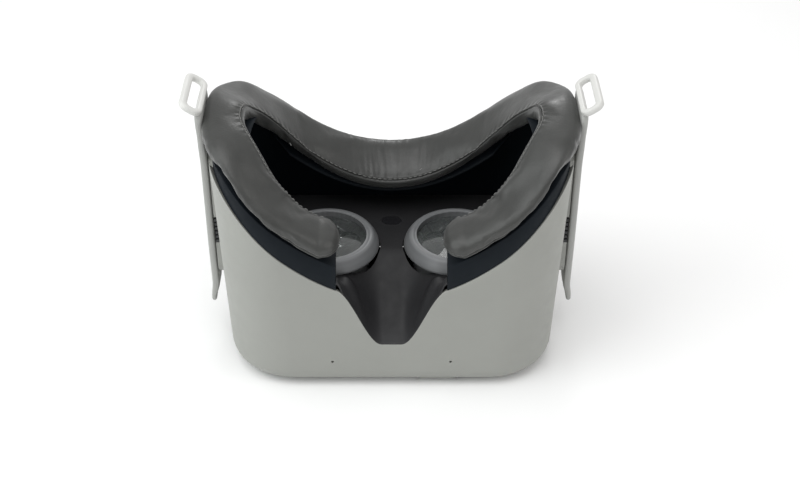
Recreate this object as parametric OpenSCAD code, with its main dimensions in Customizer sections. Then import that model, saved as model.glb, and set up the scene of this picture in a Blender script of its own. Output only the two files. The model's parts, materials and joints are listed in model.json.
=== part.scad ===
// Stand-alone virtual reality headset, lying on its front plate, face side up.
// +X is the wearer's right, +Y the top of the head, +Z points at the wearer's face.

/* [Body] */
// Width of the housing at its front edge
body_w = 170; // [168:0.5:172]
// Extra width of the housing at its rear edge
body_flare = 9; // [8:0.5:10]
// Height of the housing, chin side to forehead side
body_h = 101; // [100:0.5:102]
// Corner radius of the housing seen from the front
corner_r = 34; // [33:0.5:35]
// Radius of the rounded front edge
edge_r = 12; // [11:0.5:12]
// Wall thickness of the housing
wall = 2.2; // [2:0.1:2.4]
// Height of the seam between front plate and shell
seam_z = 2.2; // [2:0.1:2.4]

/* [Rear rim] */
// Height of the chin side rim on the centre line, before the nose notch
rim_chin_z = 56.8; // [56:0.2:58]
// Height of the forehead side rim on the centre line
rim_brow_z = 66; // [65:0.5:67]
// Height of the rim at the temples
rim_side_z = 122; // [121:0.5:123]
// Half width of the nose notch
nose_half = 28; // [27:0.5:29]
// Height of the bottom of the nose notch
nose_z = 28.7; // [28:0.1:30]

/* [Face interface] */
// Height of the foam seam on the chin side centre line
seat_chin_z = 71; // [70:0.5:72]
// How much higher the foam seam is on the forehead side
seat_brow_lift = 9; // [8:0.5:10]
// How far the foam seam dips at the upper temples
temple_drop = 7; // [5:0.5:8]
// Thickness of the foam pad
foam_t = 12; // [11:0.5:13]
// Width of the foam pad at the forehead
foam_w_brow = 25; // [23:0.5:26]
// Width of the foam pad at the cheeks
foam_w_cheek = 18; // [17:0.5:19]

/* [Lenses] */
// Distance of each lens centre from the centre line, at the widest setting
lens_x = 34; // [34:0.1:34]
// Travel of each lens towards the nose
lens_travel = 5; // [4:0.5:5]
// Outer radius of a lens barrel's ring, above the panel
barrel_r = 24.9; // [24.5:0.1:25]
// Outer radius of a lens barrel where it passes through the panel
neck_r = 22.4; // [22.2:0.1:22.6]
// Radius of a lens
lens_r = 20.8; // [20:0.1:21]
// Height of the lens rims
lens_top_z = 62; // [61:0.5:62.5]

/* [Side arms] */
// Height of the arm pivots above the front plate
pivot_z = 48; // [47:0.5:48.5]
// Height of the rear end of an arm
arm_top_z = 116; // [112:1:117]
// Tilt of an arm each way
arm_tilt = 12; // [8:1:12]
// Length of a strap loop, outside
loop_l = 33; // [32:0.5:34]

/* [Hidden] */

LIGHT = [0.78, 0.79, 0.77];
PALE = [0.89, 0.89, 0.88];
DARK = [0.20, 0.20, 0.21];
BLACK = [0.10, 0.12, 0.13];
STEEL = [0.70, 0.71, 0.73];
GREEN = [0.08, 0.25, 0.16];

body_x = body_w / 2;
body_y = body_h / 2;
form_top_z = 126;
inner_x = body_x + 0.5;
inner_y = body_y - wall;
gap = 0.3;

// Interface wall path: half sizes and corner radius.
seat_x = inner_x - 0.5;
seat_y = inner_y - 0.4;
seat_r = corner_r - wall - 0.4;
seat_lip = 2.4;
seat_wall = 2;
seat_base_z = 55.4;
panel_z = 55;
panel_t = 2;
channel_slope = 33.5;
foam_over = 1.9;
foam_side_over = 1.4;
foam_gap = 0.6;
flange_t = 2;
tip_x = 29;

lens_y = -1;
slot_r = neck_r + 0.8;
skirt_r = barrel_r + 2.5;
rod_r = 1.5;
rod_z = 34;
rod_y_upper = 29.5;
rod_y_lower = -30.5;
rod_half = 66;
pinion_y = 33.2;
tooth_m = 0.6;
teeth = 12;
pitch_r = tooth_m * teeth / 2;
rack_z = 40;
rack_t = 3;

arm_in = body_x + 1.9;
arm_t = 4.2;
arm_neck = 1.4;
boot_z = [62, 78];
arm_out = arm_in + arm_t;
pocket_x = arm_in - gap;
clip_in = arm_out + 0.3;
clip_t = 4;
pin_r = 3;

chassis_z = 13;
chassis_t = 2;
board_z = 10.6;
fan_x = -26;
fan_y = 10;
cam_x = 60;
cam_y = 29;
cam_hole_r = 5.2;
side_part_z = 22;
jack_y = -9;
usb_y = 8;
jack_r = 1.75;
jack_depth = 13;
rocker_tilt = 56;
post_x = 72.2;
post_y = 26;
post_r = 3.4;
boss_x = 44;
boss_y = 34;
screw_r = 1.05;
thread_r = 1.1;
cable_y = -43.6;
film_t = 0.3;
mic_x = 30.3;
mic_z = 17;
light_y = 11;
sensor_y = 22;
sensor_x_half = 5.7;
sensor_y_half = 4.4;
rocker_x = 24;
key_half_x = 10;
key_half_z = 2.6;
display_bracket_z = 24;
peg_z = 112;
rim_gap = 0.85;
far = 110;

function smooth(t) = let (u = min(max(t, 0), 1)) u * u * (3 - 2 * u);
function mix(a, b, t) = a + (b - a) * t;
function side_k(x) = pow(abs(x) / (body_x + body_flare / 2), 2);
function rim_chin(x) = mix(rim_chin_z, rim_side_z, side_k(x));
function rim_brow(x) = mix(rim_brow_z, rim_side_z, side_k(x));
function notch(x) = abs(x) >= nose_half ? rim_chin(x)
  : mix(nose_z, rim_chin(nose_half), smooth((abs(x) - 5) / (nose_half - 5)));
function rim_at(x, y) = y > 0 ? rim_brow(x) : rim_chin(x);

// Height of the foam seat and its tilt, round the face opening.
function seat_run(x) = abs(x) < 78 ? abs(x) : 78 + (abs(x) - 78) * 0.3;
function seat_z(x, y) = seat_chin_z + seat_brow_lift * smooth((y + 30) / 70)
  + 0.0079 * seat_run(x) * seat_run(x)
  - temple_drop * smooth((abs(x) - 50) / 40) * smooth((y + 3) / 40);
function seat_tilt(y) = mix(-8, 34, smooth((y + 50) / 95));
function foam_w(y) = mix(foam_w_cheek, foam_w_brow, smooth((y + 45) / 70));

// Path stations [x, y, normal x, normal y] for the wearer's right half, chin to brow.
function arc_run(cx, cy, r, a0, n) =
  [for (i = [0:n]) let (a = a0 + 90 * i / n) [cx + r * cos(a), cy + r * sin(a), cos(a), sin(a)]];
function line_run(a, b, n) = [for (i = [1:n - 1]) [for (k = [0:3]) mix(a[k], b[k], i / n)]];
function half_path(x0) = let (cx = seat_x - seat_r, cy = seat_y - seat_r)
  concat(
    [[x0, -seat_y, 0, -1]],
    line_run([x0, -seat_y, 0, -1], [cx, -seat_y, 0, -1], 6),
    arc_run(cx, -cy, seat_r, -90, 10),
    line_run([seat_x, -cy, 1, 0], [seat_x, cy, 1, 0], 6),
    arc_run(cx, cy, seat_r, 0, 10),
    line_run([cx, seat_y, 0, 1], [0, seat_y, 0, 1], 10),
    [[0, seat_y, 0, 1]]);
function mirrored(p) = [-p[0], p[1], -p[2], p[3]];
function whole_path(x0) = let (h = half_path(x0), n = len(h))
  concat(h, [for (i = [n - 2:-1:0]) mirrored(h[i])]);

// A station's section: [out, z] pairs carried into space.
function placed(p, section) = [for (q = section) [p[0] + q[0] * p[2], p[1] + q[0] * p[3], q[1]]];

function frame_section(p) =
  let (zs = seat_z(p[0], p[1]), t = tan(seat_tilt(p[1])), w = foam_w(p[1]) - 7,
    lip_x = abs(p[0]) + seat_lip * abs(p[2]),
    ze = rim_at(p[0], p[1]) + rim_gap,
    zl = rim_at(lip_x, p[1]) + rim_gap)
  [[0, seat_base_z], [0, ze], [seat_lip, zl], [seat_lip, zs], [-w, zs - (w + seat_lip) * t],
   [-w, zs - (w + seat_lip) * t - flange_t], [-seat_wall, zs - (seat_wall + seat_lip) * t - flange_t],
   [-seat_wall, seat_base_z]];

function foam_section(p, s) =
  let (a = seat_tilt(p[1]), w = foam_w(p[1]), out = seat_lip + foam_over + foam_side_over * abs(p[2]),
    base = seat_z(p[0], p[1]) + (out - seat_lip) * tan(a) + foam_gap)
  [for (k = [0:15])
    let (c = cos(k * 22.5), n = sin(k * 22.5),
      u = w / 2 + s * w / 2 * sign(c) * sqrt(abs(c)),
      h = foam_t / 2 + s * foam_t / 2 * sign(n) * sqrt(abs(n)))
    [out - u * cos(a) - h * sin(a), base - u * sin(a) + h * cos(a)]];

// Solid through a list of rings of equal length, capped at both ends.
module sweep(rings) {
  n = len(rings[0]);
  m = len(rings);
  sides = [for (i = [0:m - 2], j = [0:n - 1]) let (k = (j + 1) % n)
    [i * n + j, i * n + k, (i + 1) * n + k, (i + 1) * n + j]];
  start = [[for (j = [n - 1:-1:0]) j]];
  finish = [[for (j = [0:n - 1]) (m - 1) * n + j]];
  polyhedron(points = [for (r = rings, q = r) q], faces = concat(sides, start, finish));
}

module both_sides() {
  children();
  mirror([1, 0, 0]) children();
}

module four_ways(x, y) {
  for (i = [-1, 1], j = [-1, 1]) translate([i * x, j * y, 0]) children();
}

module rounded(x, y, r) {
  four_r = min(r, x - 0.01, y - 0.01);
  square([2 * (x - four_r), 2 * y], center = true);
  square([2 * x, 2 * (y - four_r)], center = true);
  for (i = [-1, 1], j = [-1, 1]) translate([i * (x - four_r), j * (y - four_r)]) circle(four_r, $fn = 64);
}

module slab(x, y, r, z, t) {
  translate([0, 0, z]) linear_extrude(t) rounded(x, y, r);
}

module block(x, y, z) {
  translate([x[0], y[0], z[0]]) cube([x[1] - x[0], y[1] - y[0], z[1] - z[0]]);
}

module rod(p, r, l, fn = 32) {
  translate(p) cylinder(r = r, h = l, $fn = fn);
}

// Outer form of the housing: rounded front edge, flaring towards the rear.
module outer_form() {
  hull() {
    four_ways(body_x - corner_r, body_y - corner_r) translate([0, 0, edge_r])
      rotate_extrude($fn = 48) translate([corner_r - edge_r, 0]) circle(edge_r, $fn = 40);
    four_ways(body_x + body_flare / 2 - corner_r, body_y - corner_r)
      rod([0, 0, form_top_z - 1], corner_r, 1, 48);
  }
}

module inner_form() {
  r = edge_r - wall;
  hull() {
    four_ways(body_x - corner_r, body_y - corner_r) translate([0, 0, edge_r])
      rotate_extrude($fn = 48) translate([corner_r - edge_r, 0]) circle(r, $fn = 32);
    four_ways(inner_x - corner_r + wall, body_y - corner_r)
      rod([0, 0, 50], corner_r - wall, form_top_z - 40, 48);
  }
}

module above(profile, back) {
  translate([0, back ? 70 : 0, 0]) rotate([90, 0, 0]) linear_extrude(70) polygon(concat(
    [for (x = [-far:2:far]) [x, profile(x)]], [[far, 240], [-far, 240]]));
}

module rear_cut() {
  above(function(x) notch(x), false);
  above(function(x) rim_brow(x), true);
}

// Fan-shaped pocket in the housing side, where an arm tilts.
module arm_pocket() {
  translate([pocket_x, 0, 0]) rotate([90, 0, 90]) linear_extrude(20) {
    translate([0, pivot_z]) circle(9, $fn = 48);
    polygon([[-9, pivot_z], [9, pivot_z], [26, 130], [-26, 130]]);
  }
}

module camera_spots() {
  four_ways(cam_x, cam_y) children();
}

// Well in the rounded front edge that the rocker and its board sit in.
module rocker_well() {
  rocker_frame() block([-key_half_x - 1.5, key_half_x + 1.5], [-edge_r - 2, -edge_r + 6],
    [-key_half_z - 1, key_half_z + 1]);
}

// The rounded front edge's own frame, tilted to the rocker's facing.
module rocker_frame() {
  translate([rocker_x, -body_y + edge_r, edge_r]) rotate([rocker_tilt, 0, 0]) children();
}

module front_plate() {
  color(LIGHT) difference() {
    union() {
      intersection() {
        outer_form();
        block([-120, 120], [-80, 80], [-1, seam_z]);
      }
      four_ways(boss_x, boss_y) rod([0, 0, seam_z - 0.5], 3, chassis_z - seam_z + 0.5);
    }
    camera_spots() rod([0, 0, -1], cam_hole_r, 5, 48);
    four_ways(boss_x, boss_y) rod([0, 0, seam_z + 2], thread_r, 20);
    rocker_well();
  }
}

module vent_slots() {
  for (x = [-30:6:30]) block([x - 1, x + 1], [body_y - 6, body_y + 6], [14, 32]);
}

// Hole through a side wall: x is where it starts, and it runs along +X.
module side_hole(x, y, z, r, fn = 48) {
  translate([x, y, z]) rotate([0, 90, 0]) cylinder(r = r, h = 20, $fn = fn);
}

module body_shell() {
  color(LIGHT) difference() {
    outer_form();
    inner_form();
    block([-120, 120], [-80, 80], [-1, seam_z]);
    rear_cut();
    both_sides() arm_pocket();
    both_sides() side_hole(body_x - 8, 0, pivot_z, pin_r + 0.05);
    vent_slots();
    rocker_well();
    side_hole(body_x - 12, 0, side_part_z, 4.3);
    side_hole(body_x - 12, light_y, side_part_z, 1.1, 24);
    side_hole(-body_x - 8, jack_y, side_part_z, 3.1);
    translate([-body_x - 8, usb_y, side_part_z]) rotate([0, 90, 0])
      linear_extrude(20) rounded(1.75, 4.65, 1.7);
    for (x = [-mic_x, mic_x]) translate([x, -body_y - 5, mic_z]) rotate([-90, 0, 0])
      cylinder(r = 0.6, h = 12, $fn = 24);
  }
}

// Face-side panel: flat round the lenses, dipping into the nose channel.
// The channel is a trough whose floor rises towards the lenses.
module trough(drop) {
  lead = 6;
  c = cos(channel_slope);
  translate([0, -inner_y, nose_z - 0.5]) rotate([channel_slope - 90, 0, 0]) translate([0, 0, -lead])
    linear_extrude(80) polygon(concat(
      [for (x = [-nose_half:4:nose_half]) [x, drop - (notch(x) - nose_z) * c]],
      [[nose_half + 2, -70], [-nose_half - 2, -70]]));
}

// Side view of the space that the channel's walls may fill, with its lips falling off to the panel.
module channel_room() {
  rotate([90, 0, 90]) linear_extrude(100, center = true)
    polygon([[-inner_y + gap, 20], [-inner_y + gap, rim_chin(nose_half) - 0.5], [-30, panel_z + 0.2],
      [-6, panel_z], [6, 40], [6, 20]]);
}

module lens_slots() {
  both_sides() {
    rod([lens_x, lens_y, 20], slot_r, 60, 96);
    rod([lens_x - lens_travel, lens_y, 20], slot_r, 60, 96);
    block([lens_x - lens_travel, lens_x], [lens_y - slot_r, lens_y + slot_r], [20, 80]);
  }
}

module lens_panel() {
  color(DARK) difference() {
    union() {
      difference() {
        slab(seat_x - 0.1, inner_y - 0.2, seat_r, panel_z - panel_t, panel_t);
        trough(panel_t / 2);
      }
      intersection() {
        difference() {
          trough(panel_t);
          trough(0);
        }
        channel_room();
      }
    }
    lens_slots();
    translate([0, sensor_y, 40]) linear_extrude(30)
      rounded(sensor_x_half, sensor_y_half, sensor_y_half - 0.01);
    four_ways(post_x, post_y) rod([0, 0, 40], thread_r, 30);
  }
}

module interface_frame() {
  color(BLACK) sweep([for (p = whole_path(tip_x)) placed(p, frame_section(p))]);
}

module face_foam() {
  path = whole_path(tip_x - 1);
  ends = [0.55, 0.86];
  last = len(path) - 1;
  color([0.36, 0.37, 0.38]) sweep([for (i = [0:last])
    let (e = min(i, last - i)) placed(path[i], foam_section(path[i], e < 2 ? ends[e] : 1))]);
}

// One tooth outline of the pinion, narrow enough to leave backlash.
module tooth_2d(r0) {
  polygon([[r0, -0.62], [r0, 0.62], [pitch_r, 0.36], [pitch_r + 0.45, 0.17],
    [pitch_r + 0.45, -0.17], [pitch_r, -0.36]]);
}

module ipd_pinion() {
  root = pitch_r - 0.65;
  color(STEEL) translate([0, pinion_y, rack_z]) difference() {
    union() {
      cylinder(r = root, h = rack_t, $fn = 48);
      for (i = [0:teeth - 1]) rotate(90 + i * 360 / teeth) linear_extrude(rack_t) tooth_2d(root - 0.3);
    }
    rod([0, 0, -1], 1.25, 6);
  }
}

// Rack with its teeth on +Y side, pitch line on y = 0, a tooth gap centred on x = 0.
module rack_2d(n) {
  p = PI * tooth_m;
  translate([-p * n, -2.6]) square([2 * p * n, 1.9]);
  for (i = [-n:n - 1]) translate([(i + 0.5) * p, 0])
    polygon([[-0.66, -0.75], [0.66, -0.75], [0.38, 0], [0.2, 0.4], [-0.2, 0.4], [-0.38, 0]]);
}

// Barrel, slide lugs and rack of one lens, modelled on the wearer's right.
module lens_carriage() {
  skirt_z = panel_z + 0.5;
  edge = 1.4;
  lug_half = 8;
  lug_z = [31.4, 37.2];
  lug_over = 2.6;
  difference() {
    union() {
      rod([lens_x, lens_y, 31], neck_r, lens_top_z - 33, 96);
      translate([lens_x, lens_y, skirt_z]) cylinder(r1 = skirt_r, r2 = barrel_r + 0.6, h = 3, $fn = 96);
      rod([lens_x, lens_y, skirt_z + 1], barrel_r, lens_top_z - edge - skirt_z - 1, 96);
      translate([lens_x, lens_y, lens_top_z - edge]) rotate_extrude($fn = 96) {
        square([barrel_r - edge, edge]);
        translate([barrel_r - edge, 0]) circle(edge, $fn = 32);
      }
      block([lens_x - lug_half, lens_x + lug_half], [18, rod_y_upper + lug_over], lug_z);
      block([lens_x - lug_half, lens_x + lug_half], [rod_y_lower - lug_over, -18], lug_z);
    }
    rod([lens_x, lens_y, 30], lens_r - 1, 40, 96);
    rod([lens_x, lens_y, 57], lens_r + 0.1, 40, 96);
    for (y = [rod_y_upper, rod_y_lower])
      translate([0, y, rod_z]) rotate([0, 90, 0]) cylinder(r = rod_r + 0.05, h = 100, $fn = 48);
  }
}

// Rack and the arm that joins it to the barrel; over puts it on the far side of the pinion.
module rack_arm(over) {
  bar = 1.9;
  y0 = over ? pinion_y + pitch_r + 0.7 : pinion_y - pitch_r - 0.7 - bar;
  half = 4;
  translate([0, pinion_y, rack_z]) rotate(over ? 180 : 0) translate([0, -pitch_r, 0])
    linear_extrude(rack_t) rack_2d(6);
  block([11, lens_x + half], [y0, y0 + bar], [rack_z, rack_z + rack_t]);
  block([lens_x - half, lens_x + half], [min(y0, 26), y0 + bar], [37.2, rack_z + rack_t]);
  block([lens_x - half, lens_x + half], [18, 28], [36, rack_z + rack_t]);
}

module lens_carriage_right() {
  color([0.45, 0.46, 0.48]) {
    lens_carriage();
    rack_arm(true);
  }
}

module lens_carriage_left() {
  color([0.45, 0.46, 0.48]) mirror([1, 0, 0]) {
    lens_carriage();
    rack_arm(false);
  }
}

// Fresnel lens: stepped rings on a shallow dome.
module fresnel() {
  rings = 12;
  w = (lens_r - 1) / rings;
  translate([lens_x, lens_y, 57.05]) rotate_extrude($fn = 72) {
    square([lens_r, 1.6]);
    for (i = [0:rings - 1]) translate([i * w, 1.6])
      polygon([[0, 0], [w, 0], [w, 0.25], [0, 0.25 + 0.5 * (i + 1) / rings]]);
  }
}

module lens_right() {
  color([0.85, 0.9, 0.92, 0.5]) fresnel();
}

module lens_left() {
  color([0.85, 0.9, 0.92, 0.5]) mirror([1, 0, 0]) fresnel();
}

module ipd_rods() {
  color(STEEL) for (y = [rod_y_upper, rod_y_lower])
    translate([-rod_half, y, rod_z]) rotate([0, 90, 0]) cylinder(r = rod_r, h = 2 * rod_half, $fn = 48);
}

module rod_end(y) {
  difference() {
    block([61, rod_half + 2], [y - 3, y + 3], [31, panel_z - panel_t]);
    translate([0, y, rod_z]) rotate([0, 90, 0]) cylinder(r = rod_r, h = rod_half, $fn = 48);
  }
}

module ipd_bracket_upper() {
  color(DARK) {
    both_sides() rod_end(rod_y_upper);
    block([-61, 61], [rod_y_upper - 3, rod_y_upper + 6.5], [44, 46]);
    rod([0, pinion_y, 38.8], 1.2, 5.3);
  }
}

module ipd_bracket_lower() {
  color(DARK) both_sides() rod_end(rod_y_lower);
}

module proximity_window() {
  color([0.05, 0.05, 0.06]) translate([0, sensor_y, panel_z - 1.4]) linear_extrude(0.9)
    rounded(sensor_x_half - 0.1, sensor_y_half - 0.1, sensor_y_half - 0.11);
}

module proximity_board() {
  color(GREEN) {
    block([-9, 9], [sensor_y - 3.6, sensor_y + 3.6], [50, 51]);
    block([-1.4, 1.4], [sensor_y - 1.2, sensor_y + 1.2], [51, 52]);
    block([-8.6, -7], [sensor_y + 0.4, sensor_y + 3.4], [51, panel_z - panel_t]);
    block([7, 8.6], [sensor_y + 0.4, sensor_y + 3.4], [51, panel_z - panel_t]);
  }
}

module chassis() {
  color([0.42, 0.43, 0.45]) difference() {
    union() {
      slab(78, 43, 26, chassis_z, chassis_t);
      four_ways(post_x, post_y) rod([0, 0, chassis_z + 1], post_r, panel_z - panel_t - chassis_z - 1);
    }
    rod([fan_x, fan_y, 10], 17, 10, 64);
    four_ways(boss_x, boss_y) rod([0, 0, 10], 1.5, 10);
    four_ways(post_x, post_y) rod([0, 0, 45], thread_r, 20);
    camera_spots() rod([0, 0, 10], 6.4, 10, 48);
  }
}

module display_bracket() {
  color(STEEL) {
    difference() {
      slab(63, 36.5, 4, display_bracket_z, 2);
      four_ways(28, 0) rod([0, 0, 20], 12, 10, 48);
    }
    both_sides() for (y = [-22, 22])
      rod([57, y, chassis_z + chassis_t], 2.4, display_bracket_z - chassis_z - chassis_t);
  }
}

module display_panel() {
  color([0.05, 0.05, 0.07]) slab(61, 34.5, 1.5, display_bracket_z + 2.05, 2.1);
}

module battery() {
  color([0.16, 0.16, 0.18]) slab(44, 20, 3, chassis_z + chassis_t + 0.1, 8.2);
}

module battery_strap() {
  z1 = chassis_z + chassis_t;
  color(STEEL) difference() {
    block([-4, 4], [-25, 25], [z1, z1 + 8.8]);
    block([-5, 5], [-20.1, 20.1], [z1 - 1, z1 + 8.35]);
    block([-5, 5], [-30, -21], [z1 + 0.8, z1 + 10]);
    block([-5, 5], [21, 30], [z1 + 0.8, z1 + 10]);
  }
}

module main_board() {
  color(GREEN) difference() {
    slab(52, 30, 3, board_z, 1.2);
    rod([fan_x, fan_y, 5], 19.2, 12, 64);
    block([fan_x - 10.2, fan_x + 10.2], [fan_y, 40], [5, 20]);
  }
}

module shield_can() {
  color(STEEL) difference() {
    block([2, 34], [-12, 20], [board_z - 1.8, board_z]);
    block([2.4, 33.6], [-11.6, 19.6], [board_z - 1.4, board_z + 1]);
  }
}

module heat_sink() {
  color(STEEL) {
    block([4, 32], [-10, 18], [7.2, 8.7]);
    for (y = [-9.5:3:17]) block([4, 32], [y, y + 0.8], [4.2, 7.2]);
  }
}

module heat_pipe() {
  color([0.72, 0.45, 0.28]) {
    block([-36, 26], [-20, -14], [7.6, 9.6]);
    block([10, 26], [-14, -10], [7.6, 8.6]);
  }
}

module fan_housing() {
  color(BLACK) translate([fan_x, fan_y, 3.2]) difference() {
    union() {
      rod([0, 0, 0], 19, 9.6, 64);
      block([-10, 10], [0, 32.5], [0, 9.6]);
    }
    rod([0, 0, 1], 17.6, 7.6, 64);
    rod([0, 0, 5], 9.5, 10, 48);
    block([-8.6, 8.6], [0, 40], [1, 8.6]);
  }
  color(BLACK) rod([fan_x, fan_y, 3.4], 1.2, 6);
}

module fan_rotor() {
  blades = 13;
  color(DARK) translate([fan_x, fan_y, 4.7]) difference() {
    union() {
      rod([0, 0, 0], 8, 6.6, 48);
      for (i = [0:blades - 1]) rotate(i * 360 / blades) translate([7.6, -0.4, 0.4])
        rotate(24) cube([8.6, 0.9, 5.8]);
    }
    rod([0, 0, -1], 1.25, 9);
  }
}

// Tracking camera: barrel in the front plate's hole, square sensor box behind.
module camera_body() {
  difference() {
    union() {
      rod([0, 0, 1], cam_hole_r - 0.15, 3, 48);
      rod([0, 0, 3.4], 6, 3.6, 48);
      block([-5, 5], [-5, 5], [7, 12.6]);
    }
    rod([0, 0, 0], 3.4, 4, 48);
  }
}

module camera_upper_right() {
  color(BLACK) translate([cam_x, cam_y, 0]) camera_body();
}

module camera_upper_left() {
  color(BLACK) translate([-cam_x, cam_y, 0]) camera_body();
}

module camera_lower_right() {
  color(BLACK) translate([cam_x, -cam_y, 0]) camera_body();
}

module camera_lower_left() {
  color(BLACK) translate([-cam_x, -cam_y, 0]) camera_body();
}

module camera_glass() {
  color([0.1, 0.1, 0.14]) camera_spots() rod([0, 0, 0.3], cam_hole_r - 0.15, 0.7, 48);
}

// Rocker bar set in the rounded front edge on the chin side.
module volume_rocker() {
  color(LIGHT) rocker_frame() difference() {
    union() {
      translate([0, -edge_r - 0.3, 0]) rotate([-90, 0, 0]) linear_extrude(2.2)
        rounded(key_half_x, key_half_z, key_half_z - 0.01);
      block([-2.5, 2.5], [-edge_r + 1.9, -edge_r + 4.4], [-2.4, 2.4]);
    }
    translate([0, -edge_r + 3, -5]) cylinder(r = 0.85, h = 10, $fn = 32);
  }
}

module volume_board() {
  color(GREEN) rocker_frame() {
    translate([0, -edge_r + 3, -2.9]) cylinder(r = 0.8, h = 5.8, $fn = 32);
    block([-10, 10], [-edge_r + 5, -edge_r + 6], [-3.4, 3.4]);
    for (x = [-7, 7]) block([x - 1.5, x + 1.5], [-edge_r + 2.9, -edge_r + 5], [-1.5, 1.5]);
    for (z = [-3.4, 2.6]) block([-1.4, 1.4], [-edge_r + 2, -edge_r + 5], [z, z + 0.8]);
  }
}

module power_button() {
  color(PALE) translate([body_x - 2.9, 0, side_part_z]) rotate([0, 90, 0]) {
    rod([0, 0, 0], 5.4, 0.8, 48);
    rod([0, 0, 0], 4.2, 4.4, 48);
  }
}

module power_board() {
  color(GREEN) {
    block([body_x - 6.6, body_x - 5.6], [-7, 14], [side_part_z - 6, side_part_z + 6]);
    block([body_x - 5.6, body_x - 3.6], [-1.5, 1.5], [side_part_z - 1.5, side_part_z + 1.5]);
    block([body_x - 8, body_x - 5.6], [-3, 3], [chassis_z + chassis_t, side_part_z - 6]);
  }
}

module status_light() {
  color([0.95, 0.95, 0.9]) translate([body_x - 5.5, light_y, side_part_z]) rotate([0, 90, 0])
    rod([0, 0, 0], 1, 5.9, 24);
}

module usb_port() {
  color(STEEL) translate([-body_x + 0.8, usb_y, side_part_z]) rotate([0, 90, 0]) difference() {
    linear_extrude(9) rounded(1.65, 4.55, 1.6);
    translate([0, 0, -1]) linear_extrude(8) rounded(1.3, 4.2, 1.25);
  }
  color(BLACK) block([-body_x + 2.4, -body_x + 8.4], [usb_y - 3.3, usb_y + 3.3],
    [side_part_z - 0.35, side_part_z + 0.35]);
}

module audio_jack() {
  color(BLACK) translate([-body_x - 0.2, jack_y, side_part_z]) rotate([0, 90, 0]) difference() {
    union() {
      rod([0, 0, 0], 3, 5, 48);
      translate([-3.4, -3.4, 3.4]) cube([6.8, 6.8, 12]);
    }
    rod([0, 0, -1], jack_r, jack_depth + 1, 48);
  }
}

module microphones() {
  color(STEEL) for (x = [-mic_x, mic_x])
    block([x - 1.8, x + 1.8], [-inner_y + 0.1, -inner_y + 1.3], [mic_z - 1.8, mic_z + 1.8]);
}

// Side arm: round root on the pivot, then a flat blade towards the temple.
module arm_outline() {
  translate([0, pivot_z]) circle(8, $fn = 64);
  polygon([[-8, pivot_z], [8, pivot_z], [8, arm_top_z - 4], [6, arm_top_z], [-6, arm_top_z], [-8, arm_top_z - 4]]);
}

module arm() {
  difference() {
    translate([arm_in, 0, 0]) rotate([90, 0, 90]) linear_extrude(arm_t) arm_outline();
    block([arm_in + arm_neck, arm_out + 1], [-9, 9], boot_z);
    block([arm_in + 1, arm_out + 1], [-6.2, 6.2], [80, 108]);
    translate([arm_in - 1, 0, pivot_z]) rotate([0, 90, 0]) cylinder(r = pin_r, h = 10, $fn = 48);
    translate([arm_in - 1, 0, peg_z]) rotate([0, 90, 0]) cylinder(r = 1.6, h = 10, $fn = 32);
  }
}

module arm_right() {
  color(LIGHT) arm();
}

module arm_left() {
  color(LIGHT) mirror([1, 0, 0]) arm();
}

module arm_cover() {
  block([arm_out - 1, arm_out - 0.05], [-6.1, 6.1], [80.1, 107.9]);
}

module arm_cover_right() {
  color(LIGHT) arm_cover();
}

module arm_cover_left() {
  color(LIGHT) mirror([1, 0, 0]) arm_cover();
}

// Ribbed dark boot over the wires, wrapped across the arm's thinned neck.
module arm_boot() {
  pitch = 2.6;
  for (i = [0:5]) let (z = boot_z[0] + 0.1 + i * pitch)
    block([arm_in + arm_neck, arm_out - 0.1], [-8, 8], [z, z + 1.6]);
  block([arm_in + arm_neck, arm_in + arm_neck + 1.3], [-7.4, 7.4], [boot_z[0] + 0.1, boot_z[1] - 0.1]);
}

module arm_boot_right() {
  color(DARK) arm_boot();
}

module arm_boot_left() {
  color(DARK) mirror([1, 0, 0]) arm_boot();
}

module speaker() {
  block([arm_in + 1.05, arm_out - 1.1], [-5.6, 5.6], [83, 105]);
}

module speaker_right() {
  color(BLACK) speaker();
}

module speaker_left() {
  color(BLACK) mirror([1, 0, 0]) speaker();
}

// Pivot pin: head inside the housing, shank pressed in the arm.
module hinge_pin() {
  translate([body_x - 2.1, 0, pivot_z]) rotate([0, 90, 0]) {
    rod([0, 0, 1], pin_r, arm_out - body_x + 1.1, 48);
    rod([0, 0, 0], 4.6, 1.2, 48);
  }
}

module hinge_pin_right() {
  color(STEEL) hinge_pin();
}

module hinge_pin_left() {
  color(STEEL) mirror([1, 0, 0]) hinge_pin();
}

// Spring washer between the pin's head and the housing wall.
module hinge_clip() {
  translate([body_x - 0.9, 0, pivot_z]) rotate([0, 90, 0]) difference() {
    cylinder(r = 4.6, h = 0.8, $fn = 48);
    rod([0, 0, -1], pin_r + 0.1, 3, 48);
  }
}

module hinge_clip_right() {
  color(STEEL) hinge_clip();
}

module hinge_clip_left() {
  color(STEEL) mirror([1, 0, 0]) hinge_clip();
}

// Strap loop: round-ended ring, its long side along the headset's height.
module strap_loop() {
  lean = 33;
  translate([clip_in + 2.5, 0, 141.5]) rotate([0, -lean, 0]) translate([4.4, 0, 0])
    linear_extrude(3.4) difference() {
      rounded(6, loop_l / 2, 4.6);
      translate([-0.4, 0]) rounded(2.6, loop_l / 2 - 3, 2.2);
    }
}

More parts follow.
